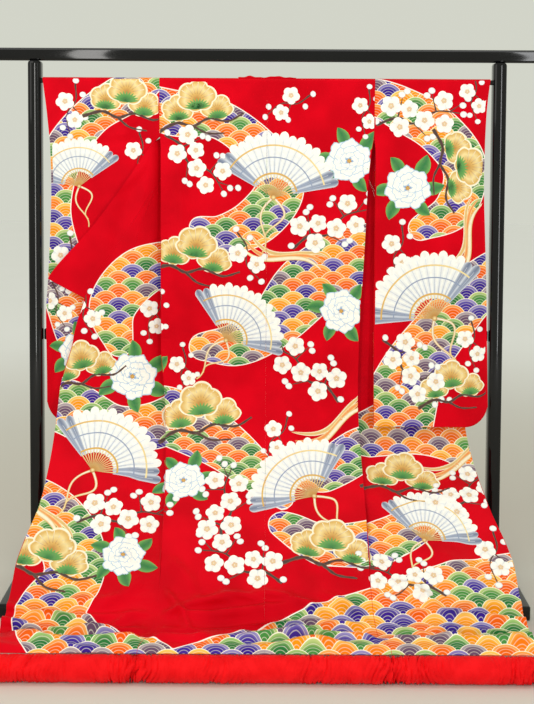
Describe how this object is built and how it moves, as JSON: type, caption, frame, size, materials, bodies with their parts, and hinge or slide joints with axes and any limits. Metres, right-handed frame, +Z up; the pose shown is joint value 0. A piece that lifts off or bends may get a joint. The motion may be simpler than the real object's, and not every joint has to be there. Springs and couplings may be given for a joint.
{
  "type": "uchikake wedding kimono on a kimono stand",
  "caption": "Long-sleeved wedding over-robe with a padded trailing hem, hung back outwards by its sleeves on a free-standing lacquered rack, fronts turned open.",
  "frame": {"origin": "on the floor, on the base bar's underside below the middle of the rod that carries the robe", "axes": "+Z up; -Y is where the robe's back faces and its hem trails; +X is to the right of someone who looks at the robe's back"},
  "size_m": [1.7, 0.9733, 1.6018],
  "materials": {
    "red_satin": "patterned silk satin outside, plain bright red lining inside",
    "red_lining": "ruched plain silk over wadding",
    "black_lacquer": "gloss black lacquer on wood"
  },
  "bodies": {
    "root": {"body_left": "red_satin", "body_right": "red_satin", "okumi_left": "red_satin", "okumi_right": "red_satin", "collar_left": "red_satin", "collar_neck": "red_satin", "collar_right": "red_satin", "sleeve_left": "red_satin", "sleeve_right": "red_satin", "hem_roll_back": "red_lining", "hem_roll_left": "red_lining", "hem_roll_right": "red_lining", "rod": "black_lacquer", "post_left": "black_lacquer", "post_right": "black_lacquer", "top_rail": "black_lacquer", "mid_rail": "black_lacquer", "base_bar": "black_lacquer", "foot_left": "black_lacquer", "foot_right": "black_lacquer"}
  },
  "joints": []
}
